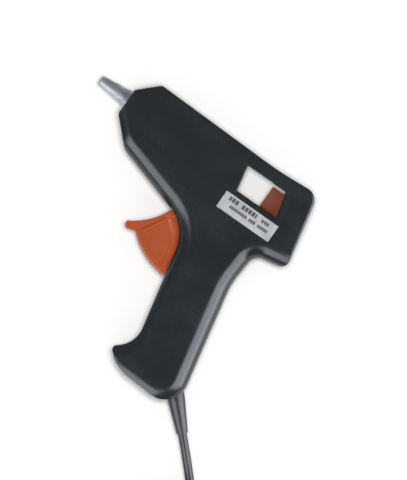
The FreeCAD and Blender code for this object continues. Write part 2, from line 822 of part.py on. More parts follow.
def trigger_ridges():
    """Low rounded ridges on the web: one beside the housing's edge, one below the finger pad."""
    web_top = MID + size("trigger_web") / 2
    web = trigger_web(size("trigger_radius") - WEB_INSET, FRONT_SHIFT)
    zone = prism(web, 0, THICK)
    centre = RIDGE_CENTRE + Vector(0, 0, web_top + RIDGE_HEIGHT - RIDGE_SECTION)
    curve = Part.makeTorus(RIDGE_PATH, RIDGE_SECTION, centre, UP, 0, 360, RIDGE_SWEEP_DEG)
    curve.rotate(centre, UP, RIDGE_START_DEG)
    turn = math.radians(RIDGE_START_DEG)
    outward = Vector(math.cos(turn), math.sin(turn), 0)
    downward = Vector(outward.y, -outward.x, 0)
    straight = Part.makeCylinder(
        RIDGE_SECTION, RIDGE_TAIL, centre + outward * RIDGE_PATH, downward
    )
    along = (INNER_TOP - SECTOR_START).normalize()
    across = Vector(along.y, -along.x, 0)
    bead_z = web_top + RIDGE_HEIGHT - BEAD_SECTION
    start = SECTOR_START + across * BEAD_OFFSET + Vector(0, 0, bead_z)
    length = (INNER_TOP - SECTOR_START).Length + BEAD_OVERRUN
    bead = Part.makeCylinder(BEAD_SECTION, length, start, along)
    ridges = []
    for ridge in (curve, straight, bead):
        ridges += both_sides(ridge.common(zone))
    return ridges


def trigger():
    web_half = size("trigger_web") / 2
    web_outline = trigger_web(size("trigger_radius") - WEB_INSET, FRONT_SHIFT)
    web = prism(web_outline, MID - web_half, MID + web_half)
    rim_half = size("trigger_rim") / 2
    rim_outline = trigger_web(size("trigger_radius"), FRONT_SHIFT)
    rim = prism(rim_outline, MID - rim_half, MID + rim_half)
    rim = rim.cut(disc(PIVOT.x, PIVOT.y, size("trigger_radius") - RIM_WIDTH, 0, THICK))
    outer_edges = [
        e for e in rim.Edges
        if e.Curve.TypeId == "Part::GeomCircle" and e.Curve.Radius > size("trigger_radius") - 0.1
    ]
    rim = rim.makeFillet(RIM_ROUNDING, outer_edges)
    hub = disc(PIVOT.x, PIVOT.y, HUB_RADIUS, MID - HUB_HALF, MID + HUB_HALF)
    reach = (ARM - PIVOT).Length
    arm = solid_box((0, -ARM_END, -EAR_OUTER), (reach, ARM_END, EAR_OUTER))
    arm = arm.fuse(Part.makeCylinder(ARM_END, 2 * EAR_OUTER, Vector(reach, 0, -EAR_OUTER)))
    gap_from = HUB_RADIUS + 0.3
    gap = solid_box((gap_from, -9, -EAR_INNER), (reach + 9, 9, EAR_INNER))
    arm = arm.cut([gap, Part.makeCylinder(size("small_pin") / 2, 20, Vector(reach, 0, -10))])
    lean = math.degrees(math.atan2(ARM.y - PIVOT.y, ARM.x - PIVOT.x))
    arm.rotate(Vector(0, 0, 0), UP, lean)
    arm.translate(PIVOT)
    bore = disc(PIVOT.x, PIVOT.y, size("pivot_pin") / 2 + size("running"), 0, THICK)
    whole = web.fuse([rim, hub, trigger_pad(), arm, *trigger_ridges()])
    return whole.cut(bore).removeSplitter()


feature("trigger", trigger())


def cross_pin(name, at, diameter, half_length):
    """A pin across the parting plane, as thick as the sheet's diameter of that name."""
    start = (at.x, at.y, MID - half_length)
    return cylinder(name, start, UP, f"sizes.{diameter} / 2", 2 * half_length)


node("trigger_pivot_pin", cross_pin("pivot_pin_rod", PIVOT, "pivot_pin", MID - FACE))
node("link_pin", cross_pin("link_pin_rod", ARM, "small_pin", EAR_OUTER))

# ---------------------------------------------------------------- link, carriage and pawl
LINK_END = 2.8
LINK_RISE = 0.14  # the open pivot sits midway in the arm's small rise and fall
OPEN_PIVOT = Vector(ARM.x + size("link_length"), ARM.y + LINK_RISE, MID)
OPEN_CLEARANCE = 0.4
CARRIAGE_FRONT = 37.0
CARRIAGE_END = 50.5
BLOCK_HALF = 5.6
PAWL_PIVOT = Vector(47.2, 41.6, MID)
PAWL_TIP = Vector(44.6, 45.2, MID)
SPRING_PEG = (43.0, 38.0)
PEG_RADIUS = 1.0
BLOCK_ROUNDING = 1.0
WING_HALF = 8.5
NECK_HALF = 5.0
CHEEK_HALF = 4.6
LINK_SLOT_HALF = 1.8
SPRING_SLOT_HALF = 2.6
PAWL_SLOT_HALF = 1.7
PAWL_HALF = 1.4
PAWL_CLEARANCE = 0.06
CARRIAGE_PIN_HALF = 4.4
PAWL_PIN_HALF = 5.0


def feed_link():
    """A flat bar with a round hole at the trigger arm and a loose one at the carriage."""
    length = size("link_length")
    top = [Vector(0, LINK_END, 0), Vector(length, LINK_END + LINK_RISE, 0)]
    low = [Vector(0, -LINK_END, 0), Vector(length, -LINK_END + LINK_RISE, 0)]
    outline = [
        Part.LineSegment(top[0], top[1]),
        Part.Arc(top[1], Vector(length + LINK_END, LINK_RISE, 0), low[1]),
        Part.LineSegment(low[1], low[0]),
        Part.Arc(low[0], Vector(-LINK_END, 0, 0), top[0]),
        ring_edge(0, 0, size("small_pin") / 2 + size("running")),
        ring_edge(length, LINK_RISE, size("small_pin") / 2 + OPEN_CLEARANCE),
    ]
    base = ARM - Vector(0, 0, size("link_thickness") / 2)
    padded("feed_link", base, outline, "sizes.link_thickness")


def centred_block(name, low, high, half_width):
    """A block between two corners in X and Y, half_width each side of the parting plane."""
    return block(name, (*low, MID - half_width), (*high, MID + half_width))


def feed_carriage():
    top = BARREL + BLOCK_HALF
    main = centred_block("carriage_block", (CARRIAGE_FRONT, 43.6), (CARRIAGE_END, top), BLOCK_HALF)
    main = rounded_edges("carriage_soft", main, BLOCK_ROUNDING)
    neck = centred_block("carriage_neck", (37.6, 40.0), (CARRIAGE_END - 0.6, 44.6), NECK_HALF)
    wings = centred_block("carriage_wings", (39.0, 39.9), (49.0, 41.7), WING_HALF)
    ears = centred_block("carriage_ears", (35.6, 37.0), (41.4, 42.6), CARRIAGE_PIN_HALF)
    cheeks = centred_block("carriage_cheeks", (41.0, 36.7), (44.6, 40.2), CHEEK_HALF)
    peg = cylinder("carriage_peg", (*SPRING_PEG, MID - CHEEK_HALF), UP, PEG_RADIUS, 2 * CHEEK_HALF)
    solid = fused("carriage_solid", [main, neck, wings, ears, cheeks])
    bore = cylinder("carriage_bore", (30, BARREL, MID), ALONG_X, "sizes.stick_bore / 2", 25)
    link_slot = centred_block("link_slot", (34.0, 36.0), (41.7, 43.2), LINK_SLOT_HALF)
    spring_slot = centred_block("spring_slot", (41.0, 35.0), (47.0, 39.9), SPRING_SLOT_HALF)
    pawl_slot = centred_block("pawl_slot", (42.4, 39.0), (49.4, 46.6), PAWL_SLOT_HALF)
    pin_hole = cylinder(
        "carriage_pin_hole", (OPEN_PIVOT.x, OPEN_PIVOT.y, 0), UP, "sizes.small_pin / 2", THICK
    )
    pawl_hole = cylinder(
        "pawl_pin_hole", (PAWL_PIVOT.x, PAWL_PIVOT.y, 0), UP, "sizes.pawl_pin_size / 2", THICK
    )
    tools = [bore, link_slot, spring_slot, pawl_slot, pin_hole, pawl_hole]
    trimmed = cut("carriage_cut", solid, tools)
    node("feed_carriage", fused("carriage_with_peg", [trimmed, peg]))


def rounded_edges(name, base, radius):
    """Fillets the four edges of a block that run along X."""
    doc.recompute()
    soft = doc.addObject("Part::Fillet", name)
    soft.Base = base
    chosen = []
    for number, edge in enumerate(base.Shape.Edges, 1):
        if edge.BoundBox.YLength < 1e-6 and edge.BoundBox.ZLength < 1e-6:
            chosen.append((number, radius, radius))
    soft.Edges = chosen
    return soft


def grip_pawl():
    """A toothed lever that bites the stick from below."""
    points = [
        (PAWL_PIVOT.x + 1.5, PAWL_PIVOT.y - 0.6),
        (PAWL_PIVOT.x + 1.3, PAWL_PIVOT.y + 1.0),
        (PAWL_TIP.x + 1.5, PAWL_TIP.y - 0.7),
        (PAWL_TIP.x + 0.9, PAWL_TIP.y),
        (PAWL_TIP.x + 0.5, PAWL_TIP.y - 0.6),
        (PAWL_TIP.x, PAWL_TIP.y),
        (PAWL_TIP.x - 0.9, PAWL_TIP.y - 1.0),
        (PAWL_PIVOT.x - 1.6, PAWL_PIVOT.y - 0.2),
        (PAWL_PIVOT.x - 0.6, PAWL_PIVOT.y - 1.4),
        (PAWL_PIVOT.x + 0.7, PAWL_PIVOT.y - 1.4),
    ]
    edges = closed_lines(points)
    edges.append(ring_edge(PAWL_PIVOT.x, PAWL_PIVOT.y, size("pawl_pin_size") / 2 + PAWL_CLEARANCE))
    padded("grip_pawl", (0, 0, MID - PAWL_HALF), edges, 2 * PAWL_HALF)


feed_link()
feed_carriage()
grip_pawl()
node("carriage_pin", cross_pin("carriage_pin_rod", OPEN_PIVOT, "small_pin", CARRIAGE_PIN_HALF))
node("pawl_pin", cross_pin("pawl_pin_rod", PAWL_PIVOT, "pawl_pin_size", PAWL_PIN_HALF))


def return_spring():
    """An extension spring from the carriage's peg to the post in the right shell."""
    wire = 0.5
    radius = 1.6  # of the coil and of the loops at its ends
    turns = 12
    y = SPRING_PEG[1]
    start = SPRING_PEG[0] + radius + 0.2
    end = SPRING_POST[0] - radius - 0.2
    ends = [Part.makeTorus(radius, wire / 2, Vector(*at, MID)) for at in (SPRING_PEG, SPRING_POST)]
    for x in (start, end):
        stem_low = (x - 0.3, y - wire / 2, MID - radius - 0.1)
        ends.append(solid_box(stem_low, (x + 0.3, y + wire / 2, MID + 0.2)))
    pitch = (end - start) / turns
    return coil_spring(radius, wire, pitch, turns, Vector(start, y, MID), ALONG_X, ends)


feature("return_spring", return_spring())


# ---------------------------------------------------------------- cord paths
def tube(points, radius, label):
    """A round tube on straight runs joined by tangent arcs, each as large as its runs allow."""
    corners = [Vector(*p) for p in points]
    edges, at, radii = [], corners[0], []
    for before, corner, after in zip(corners, corners[1:], corners[2:]):
        back = before - corner
        ahead = after - corner
        reach = 0.45 * min(back.Length, ahead.Length)
        half_turn = (math.pi - back.getAngle(ahead)) / 2
        bend = reach / math.tan(half_turn)
        radii.append(bend)
        back.normalize()
        ahead.normalize()
        start = corner + back * reach
        end = corner + ahead * reach
        inward = (back + ahead).normalize()
        middle = corner + inward * (bend / math.cos(half_turn) - bend)
        edges.append(Part.LineSegment(at, start).toShape())
        edges.append(Part.Arc(start, middle, end).toShape())
        at = end
    edges.append(Part.LineSegment(at, corners[-1]).toShape())
    path = Part.Wire(edges)
    first = (corners[1] - corners[0]).normalize()
    section = Part.Wire(Part.makeCircle(radius, corners[0], first))
    solid = path.makePipeShell([section], True, False)
    expected = path.Length * math.pi * radius**2
    print(label, "length", round(path.Length, 1), "radii", [round(r, 1) for r in radii])
    if abs(solid.Volume - expected) > 0.01 * expected:
        raise ValueError(f"{label}: volume {solid.Volume:.1f}, expected {expected:.1f}")
    return solid


# Core routes from the jacket's end, down the right shell and round in front of the pivot
LIVE_ROUTE = [
    (41.9, -44.9, 12.0),
    (39.6, -38.5, 9.0),
    (41.0, -30.0, 5.2),
    (41.6, -20.0, 3.9),
    (39.6, -8.0, 3.7),
    (35.6, 2.4, 3.7),
    (28.5, 12.0, 3.7),
    (18.5, 17.4, 3.7),
    (10.5, 22.5, 4.2),
    (8.2, 29.5, 6.8),
    (10.2, 35.4, 10.2),
    (8.6, lower_tab, MID - 1.9),
    (5.0, lower_tab, MID - 1.9),
]
NEUTRAL_ROUTE = [
    (43.2, -43.6, 14.0),
    (44.4, -37.0, 10.6),
    (44.6, -29.0, 6.4),
    (44.4, -19.5, 4.3),
    (42.2, -6.8, 3.9),
    (38.8, 5.0, 3.7),
    (30.0, 14.4, 3.7),
    (19.4, 19.8, 3.7),
    (12.0, 24.4, 4.8),
    (10.6, 30.0, 8.0),
    (11.6, 35.6, 12.2),
    (9.4, upper_tab, MID + 1.9),
    (5.0, upper_tab, MID + 1.9),
]
CRIMP_RADIUS = 1.25
CRIMP_LENGTH = 4.0
CRIMP_GAP = 0.1
core = size("wire_diameter") / 2
feature("live_wire", tube(LIVE_ROUTE, core, "live_wire"))
feature("neutral_wire", tube(NEUTRAL_ROUTE, core, "neutral_wire"))


def crimps():
    """Two short tubes that join the cores to the contact plates' tabs."""
    pieces = []
    for y, z in ((lower_tab, MID - 1.9), (upper_tab, MID + 1.9)):
        barrel = Part.makeCylinder(CRIMP_RADIUS, CRIMP_LENGTH, Vector(TAB_END, y, z), ALONG_X)
        hole_start = Vector(TAB_END + 1.0, y, z)
        hole = Part.makeCylinder(core + CRIMP_GAP, CRIMP_LENGTH, hole_start, ALONG_X)
        pieces.append(barrel.cut(hole))
    return Part.makeCompound(pieces)


feature("wire_crimps", crimps())

# ---------------------------------------------------------------- cord entry
cord_radius = size("cord_diameter") / 2
BOOT_LENGTH = 18.0
BOOT_END = 2.9
BOOT_SHOULDER = 0.6  # straight part before the taper
FLANGE_RADIUS = 5.4
FLANGE_LENGTH = 1.8
JACKET_INSIDE = 22.0
BAR_WIDTH = 5.0
BAR_HEIGHT = 1.9
BAR_HOLE_RADIUS = 1.1
CLAMP_SCREW_LENGTH = 9.0
CLAMP_HEAD_RADIUS = 1.9
CLAMP_HEAD_HEIGHT = 1.4


def cord_point(distance, z=MID):
    """A point on the exit line, distance beyond the start of the boot's taper."""
    at = EXIT + CORD_OUT * distance
    return Vector(at.x, at.y, z)


jacket = cylinder(
    "jacket_rod", cord_point(-JACKET_INSIDE), CORD_OUT,
    "sizes.cord_diameter / 2", JACKET_INSIDE + BOOT_LENGTH,
)
node("inner_cord", jacket)


def strain_relief():
    neck = cylinder("boot_neck", cord_point(-BOOT_NECK), CORD_OUT, BOOT_RADIUS, BOOT_NECK + BOOT_SHOULDER)
    back = -BOOT_NECK - FLANGE_LENGTH
    flange = cylinder("boot_flange", cord_point(back), CORD_OUT, FLANGE_RADIUS, FLANGE_LENGTH)
    taper = primitive(
        "Part::Cone", "boot_taper", cord_point(BOOT_SHOULDER), CORD_OUT,
        Radius1=BOOT_RADIUS, Radius2=BOOT_END, Height=BOOT_LENGTH - BOOT_SHOULDER,
    )
    hole = cylinder(
        "boot_hole", cord_point(back - 1), CORD_OUT, "sizes.cord_diameter / 2", BOOT_LENGTH - back + 2
    )
    solid = fused("boot_solid", [neck, flange, taper])
    node("strain_relief", cut("boot_cut", solid, [hole]))


def clamp_bar():
    """A bar across the jacket, held by two screws."""
    half_length = CLAMP_REACH + BAR_WIDTH / 2
    half_width = BAR_WIDTH / 2
    bar = solid_box((-half_length, -half_width, 0), (half_length, half_width, BAR_HEIGHT))
    screw_holes = [
        Part.makeCylinder(BAR_HOLE_RADIUS, BAR_HEIGHT + 2, Vector(CLAMP_REACH * side, 0, -1))
        for side in (-1, 1)
    ]
    bar = bar.cut(screw_holes)
    bar.rotate(Vector(0, 0, 0), UP, 45)
    bar.translate(Vector(CLAMP_AT.x, CLAMP_AT.y, MID + cord_radius))
    return bar


def clamp_screw(side):
    at = clamp_post(side)
    bar_top = MID + cord_radius + BAR_HEIGHT
    return screw(
        at.x, at.y, bar_top, CLAMP_SCREW_RADIUS, CLAMP_SCREW_LENGTH,
        CLAMP_HEAD_RADIUS, CLAMP_HEAD_HEIGHT, -1,
    )


strain_relief()
feature("cord_clamp", clamp_bar())
feature("clamp_screws", Part.makeCompound([clamp_screw(side) for side in (-1, 1)]))

# ---------------------------------------------------------------- cord outside the gun
# Leaves the boot level, droops to the surface and turns gently towards the coil.
LEAD_ROUTE = [
    (70.6, -72.2, 13.0),
    (79.1, -80.7, 13.0),
    (91.3, -94.0, 6.2),
    (102.6, -108.0, 2.25),
    (112.1, -122.1, 2.25),
]
COIL_CENTRE = Vector(85.4, -138.8, 0)
COIL_INNER = 15.75
COIL_OUTER = 33.75
COIL_HEIGHT = 9.0
COIL_ROUNDING = 2.0
TIE_STRAP = 0.8
TIE_HALF_WIDTH = 2.0
TIE_LOCK = 3.2
TIE_TURN = -100.0  # the tie's place on the coil, in degrees
PLUG_TURN = 35.0  # the plug's direction on top of the coil, in degrees from +X
# From the coil's outer turn, round past its edge and up onto it; along and across the plug
TAIL_ROUTE = [
    (-1.0, -31.8, 6.75),
    (-13.2, -32.8, 6.3),
    (-25.6, -30.9, 5.8),
    (-36.6, -24.6, 5.6),
    (-43.2, -14.0, 6.2),
    (-43.4, -1.4, 8.0),
    (-37.2, 9.6, 11.2),
    (-26.2, 15.6, 14.2),
    (-13.6, 16.0, 15.1),
]
PLUG_START = Vector(*TAIL_ROUTE[-1])
PLUG_BOOT = (3.2, 5.0)  # radii at its two ends
PLUG_BACK = 12.0
PLUG_FACE = 40.0
PLUG_WIDTH = 24.0
PLUG_THICKNESS = 12.0
PLUG_ROUNDING = 3.0
BLADE_ROOT = 34.0
BLADE_THICKNESS = 1.5
BLADE_WIDTH = 6.3
BLADE_HOLE_RADIUS = 1.6
BLADE_HOLE_INSET = 4.4


def beside_coil(shape):
    """Moves a shape from the coil's own frame to its place."""
    shape.rotate(Vector(0, 0, 0), UP, PLUG_TURN)
    shape.translate(COIL_CENTRE)
    return shape


def cord_coil():
    """The outer shape of the tied coil: a ring with rounded edges."""
    ring = Part.makeCylinder(COIL_OUTER, COIL_HEIGHT).cut(Part.makeCylinder(COIL_INNER, COIL_HEIGHT))
    ring = ring.makeFillet(COIL_ROUNDING, [e for e in ring.Edges if e.BoundBox.ZLength < 1e-6])
    ring.translate(COIL_CENTRE)
    return ring


def cord_tie():
    """A strap round the coil's turns, with its lock."""
    low = (COIL_INNER - TIE_STRAP, -TIE_HALF_WIDTH, 0.0)
    high = (COIL_OUTER + TIE_STRAP, TIE_HALF_WIDTH, COIL_HEIGHT + TIE_STRAP)
    turns_low = (COIL_INNER, -TIE_HALF_WIDTH - 1, 0.6)
    turns_high = (COIL_OUTER, TIE_HALF_WIDTH + 1, COIL_HEIGHT)
    band = solid_box(low, high).cut(solid_box(turns_low, turns_high))
    lock_side = COIL_OUTER + TIE_STRAP
    lock = solid_box((lock_side, -2.6, 3.0), (lock_side + TIE_LOCK, 2.6, 7.0))
    tie = band.fuse(lock)
    tie.rotate(Vector(0, 0, 0), UP, TIE_TURN)
    return beside_coil(tie)


def plug_body():
    """A flat moulded plug with a tapered boot, along +X from the origin."""
    boot = Part.makeCone(*PLUG_BOOT, PLUG_BACK, Vector(0, 0, 0), ALONG_X)
    half_wide, half_thick = PLUG_WIDTH / 2, PLUG_THICKNESS / 2
    body = solid_box((PLUG_BACK, -half_wide, -half_thick), (PLUG_FACE, half_wide, half_thick))
    body = body.makeFillet(PLUG_ROUNDING, body.Edges)
    sockets = [plug_blade(side) for side in (-1, 1)]
    return boot.fuse(body).cut(sockets)


def plug_blade(side):
    half_pitch = size("blade_pitch") / 2
    reach = PLUG_FACE + size("blade_length")
    half_thick = BLADE_THICKNESS / 2
    half_wide = BLADE_WIDTH / 2
    blade = solid_box((BLADE_ROOT, -half_thick, -half_wide), (reach, half_thick, half_wide))
    hole_at = Vector(reach - BLADE_HOLE_INSET, -half_thick - 1, 0)
    blade = blade.cut(
        Part.makeCylinder(BLADE_HOLE_RADIUS, BLADE_THICKNESS + 2, hole_at, Vector(0, 1, 0))
    )
    blade.translate(Vector(0, side * half_pitch, 0))
    return blade


def at_plug(shape):
    shape.translate(PLUG_START)
    return beside_coil(shape)


feature("cord_lead", tube(LEAD_ROUTE, cord_radius, "cord_lead"))
feature("cord_coil", cord_coil())
feature("cord_tail", beside_coil(tube(TAIL_ROUTE, cord_radius, "cord_tail")))
feature("cord_tie", cord_tie())
feature("plug_body", at_plug(plug_body()))
feature("plug_blades", at_plug(Part.makeCompound([plug_blade(side) for side in (-1, 1)])))

# ---------------------------------------------------------------- checks and export
doc.recompute()
problems = [
    f"{thing.Name}: {thing.State}"
    for thing in doc.Objects
    if "Invalid" in thing.State or "Error" in thing.State
]
for label, thing in nodes.items():
    if thing.Shape.isNull() or not thing.Shape.isValid() or thing.Shape.Volume <= 0:
        problems.append(f"{label}: no valid solid")
if problems:
    raise RuntimeError("\n".join(problems))
for label, thing in nodes.items():
    thing.Shape.exportStep(f"parts/{label}.step")
    print(label, round(thing.Shape.Volume, 1), "mm3 in", len(thing.Shape.Solids), "solids")
print(len(nodes), "nodes")
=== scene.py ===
import json
import math

import bpy
from mathutils import Matrix, Vector


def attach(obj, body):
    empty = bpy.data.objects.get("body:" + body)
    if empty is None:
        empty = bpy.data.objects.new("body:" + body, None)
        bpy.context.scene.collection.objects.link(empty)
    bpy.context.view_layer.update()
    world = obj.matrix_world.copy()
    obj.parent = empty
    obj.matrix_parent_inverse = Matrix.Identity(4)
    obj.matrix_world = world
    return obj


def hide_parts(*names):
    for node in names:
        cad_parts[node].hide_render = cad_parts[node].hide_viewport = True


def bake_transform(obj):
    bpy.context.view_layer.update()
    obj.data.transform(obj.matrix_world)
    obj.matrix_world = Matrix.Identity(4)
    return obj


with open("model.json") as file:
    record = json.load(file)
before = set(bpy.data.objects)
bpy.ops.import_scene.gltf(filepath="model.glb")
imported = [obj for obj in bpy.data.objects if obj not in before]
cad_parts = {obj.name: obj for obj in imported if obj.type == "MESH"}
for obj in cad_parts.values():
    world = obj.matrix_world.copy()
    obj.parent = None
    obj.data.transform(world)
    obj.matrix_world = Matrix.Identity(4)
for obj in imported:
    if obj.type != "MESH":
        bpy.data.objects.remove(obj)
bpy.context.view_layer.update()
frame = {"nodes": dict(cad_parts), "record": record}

record = frame["record"]
nodes = frame["nodes"]
MM = 0.001

# ---------------------------------------------------------------- shader helper

FLAT_DOT = 0.985
SHARP_DOT = 0.9


class Shader:
    """A material's node tree, with short calls for the nodes used here."""

    def __init__(self, name, roughness=0.5, metallic=0.0):
        self.material = bpy.data.materials.new(name)
        self.material.use_nodes = True
        self.tree = self.material.node_tree
        self.surface = self.tree.nodes["Principled BSDF"]
        self.rough(roughness)
        self.feed(metallic, self.surface.inputs["Metallic"])
        self.coords = self.add("ShaderNodeTexCoord").outputs["Object"]

    def add(self, kind, **settings):
        node = self.tree.nodes.new(kind)
        for key, value in settings.items():
            setattr(node, key, value)
        return node

    def feed(self, value, socket):
        """Sets a socket to a constant, or links another node's output to it."""
        if isinstance(value, (int, float, tuple)):
            socket.default_value = value
        else:
            self.tree.links.new(value, socket)

    def math(self, operation, first, second=0.0):
        node = self.add("ShaderNodeMath", operation=operation)
        self.feed(first, node.inputs[0])
        self.feed(second, node.inputs[1])
        return node.outputs[0]

    def stretch(self, scales):
        """The object coordinates, scaled along each axis."""
        node = self.add("ShaderNodeMapping")
        self.feed(self.coords, node.inputs["Vector"])
        self.feed(scales, node.inputs["Scale"])
        return node.outputs[0]

    def noise(self, size, detail=3.0, coords=None, roughness=0.55):
        """Soft random patches of about the given size in metres, from 0 to 1."""
        node = self.add("ShaderNodeTexNoise")
        self.feed(coords or self.coords, node.inputs["Vector"])
        self.feed(1 / size, node.inputs["Scale"])
        self.feed(detail, node.inputs["Detail"])
        self.feed(roughness, node.inputs["Roughness"])
        return node.outputs["Fac"]

    def ramp(self, value, low, high, out_low=0.0, out_high=1.0):
        """A value from low to high, mapped smoothly from out_low to out_high."""
        node = self.add("ShaderNodeMapRange", interpolation_type="SMOOTHSTEP")
        for socket, number in zip(node.inputs, (value, low, high, out_low, out_high)):
            self.feed(number, socket)
        return node.outputs[0]

    def mix(self, factor, first, second):
        """A blend of two colours. Sockets 6 and 7 are the colours, and output 2 is the blend."""
        node = self.add("ShaderNodeMix", data_type="RGBA")
        self.feed(factor, node.inputs[0])
        for colour, socket in ((first, node.inputs[6]), (second, node.inputs[7])):
            self.feed((*colour, 1.0) if isinstance(colour, tuple) else colour, socket)
        return node.outputs[2]

    def colour(self, value):
        self.feed(value, self.surface.inputs["Base Color"])

    def rough(self, value):
        self.feed(value, self.surface.inputs["Roughness"])

    def bump(self, height, distance, strength=1.0):
        """Fine relief, added to any relief that the material has already."""
        node = self.add("ShaderNodeBump")
        self.feed(distance, node.inputs["Distance"])
        self.feed(strength, node.inputs["Strength"])
        self.feed(height, node.inputs["Height"])
        normal = self.surface.inputs["Normal"]
        if normal.links:
            self.feed(normal.links[0].from_socket, node.inputs["Normal"])
        self.feed(node.outputs[0], normal)

    def edges(self, width):
        """1 along sharp edges, outside or inside, and 0 elsewhere."""
        bevel = self.add("ShaderNodeBevel", samples=4)
        self.feed(width, bevel.inputs["Radius"])
        flat = self.add("ShaderNodeNewGeometry").outputs["Normal"]
        dot = self.add("ShaderNodeVectorMath", operation="DOT_PRODUCT")
        self.feed(bevel.outputs[0], dot.inputs[0])
        self.feed(flat, dot.inputs[1])
        return self.ramp(dot.outputs["Value"], FLAT_DOT, SHARP_DOT)


# ---------------------------------------------------------------- materials


def scaled(colour, factor, lift=0.0):
    """A colour made brighter or darker, with no part past 1."""
    return tuple(min(1.0, part * factor + lift) for part in colour)


def moulded(name, dark, light, roughness):
    """Moulded plastic: a fine grain, faint flow marks, handling scuffs and paler edges."""
    shader = Shader(name)
    flow = shader.noise(28 * MM, 4.0, shader.stretch((1.0, 1.7, 1.0)))
    scuffs = shader.noise(9 * MM, 5.0, shader.stretch((0.35, 2.2, 1.0)), roughness=0.7)
    skin = shader.mix(shader.ramp(flow, 0.3, 0.7), dark, light)
    edge_wear = shader.math("MULTIPLY", shader.edges(0.35 * MM), 0.35)
    shader.colour(shader.mix(edge_wear, skin, scaled(light, 1.6, 0.01)))
    dullness = shader.ramp(flow, 0.25, 0.75, roughness - 0.03, roughness + 0.04)
    polish = shader.ramp(scuffs, 0.62, 0.74, 0.0, 0.10)
    shader.rough(shader.math("SUBTRACT", dullness, polish))
    shader.bump(shader.noise(0.45 * MM, 2.0), 0.012 * MM)
    shader.bump(scuffs, 0.03 * MM, strength=0.4)
    return shader.material


def turned_metal(name, tone, roughness, ring_stretch):
    """Lathe-turned metal: fine rings across the axis that ring_stretch leaves at 1, and dull patches."""
    shader = Shader(name, metallic=1.0)
    rings = shader.noise(0.22 * MM, 2.0, shader.stretch(ring_stretch))
    stain = shader.noise(6 * MM, 4.0)
    shader.colour(shader.mix(shader.ramp(stain, 0.35, 0.7), scaled(tone, 1.12), scaled(tone, 0.82)))
    shader.rough(shader.ramp(stain, 0.3, 0.75, roughness - 0.05, roughness + 0.1))
    shader.bump(rings, 0.01 * MM)
    return shader.material


def plain_metal(name, tone, roughness):
    """Cast, stamped or drawn metal, with a fine grain and darker stains."""
    shader = Shader(name, metallic=1.0)
    stain = shader.noise(7 * MM, 4.0)
    shader.colour(shader.mix(shader.ramp(stain, 0.3, 0.7), tone, scaled(tone, 0.75)))
    shader.rough(shader.ramp(stain, 0.3, 0.7, roughness, roughness + 0.12))
    shader.bump(shader.noise(0.6 * MM), 0.03 * MM)
    return shader.material


def soft_skin(name, dark, light, roughness):
    """A quiet, slightly cloudy skin: rubber, silicone, cable jacket, film and the heater's stone."""
    shader = Shader(name)
    bloom = shader.noise(12 * MM, 4.0)
    shader.colour(shader.mix(shader.ramp(bloom, 0.35, 0.7), dark, light))
    shader.rough(shader.ramp(bloom, 0.3, 0.7, roughness - 0.05, roughness + 0.06))
    shader.bump(shader.noise(0.3 * MM, 2.0), 0.008 * MM)
    return shader.material


# Each row of bars on the label, in mm but for the share: the row's middle and height, the bars'
# pitch, the share of the pitch that is inked, and the row's left and right ends.
LABEL_ROWS = [
    (38.3, 2.3, 2.0, 0.80, 22.3, 38.8),
    (38.1, 1.7, 1.5, 0.76, 41.6, 46.4),
    (34.8, 1.6, 1.3, 0.80, 22.3, 47.4),
]
BLANK_BARS = 0.1


def label_row(shader, x, y, middle, height, pitch, share, left, right):
    """1 on a row's bars and 0 elsewhere. A random tenth of the bars is left blank."""
    from_middle = shader.math("ABSOLUTE", shader.math("SUBTRACT", y, middle * MM))
    in_row = shader.math("LESS_THAN", from_middle, height * MM / 2)
    place = shader.math("DIVIDE", x, pitch * MM)
    in_bar = shader.math("LESS_THAN", shader.math("FRACT", place), share)
    random = shader.add("ShaderNodeTexWhiteNoise", noise_dimensions="1D")
    shader.feed(shader.math("ADD", shader.math("FLOOR", place), middle + left), random.inputs["W"])
    printed = shader.math("GREATER_THAN", random.outputs["Value"], BLANK_BARS)
    between_ends = shader.math("MULTIPLY", shader.math("GREATER_THAN", x, left * MM),
                               shader.math("LESS_THAN", x, right * MM))
    return shader.math("MULTIPLY", shader.math("MULTIPLY", in_row, in_bar),
                       shader.math("MULTIPLY", printed, between_ends))


def label_foil(name):
    """Silver foil with rows of plain dark bars where a rating plate has its print."""
    shader = Shader(name, metallic=0.25)
    axes = shader.add("ShaderNodeSeparateXYZ")
    shader.feed(shader.coords, axes.inputs[0])
    ink = 0.0
    for row in LABEL_ROWS:
        ink = shader.math("MAXIMUM", ink, label_row(shader, axes.outputs[0], axes.outputs[1], *row))
    foil = shader.noise(5 * MM)
    silver = shader.mix(shader.ramp(foil, 0.3, 0.7), (0.38, 0.385, 0.39), (0.44, 0.445, 0.45))
    shader.colour(shader.mix(shader.math("MULTIPLY", ink, 0.9), silver, (0.03, 0.03, 0.035)))
    shader.rough(shader.ramp(foil, 0.3, 0.7, 0.32, 0.42))
    shader.bump(shader.noise(0.5 * MM, 2.0), 0.004 * MM)
    return shader.material


RINGS_ALONG_X = (1.0, 0.02, 0.02)
RINGS_ALONG_Z = (0.3, 0.3, 1.0)

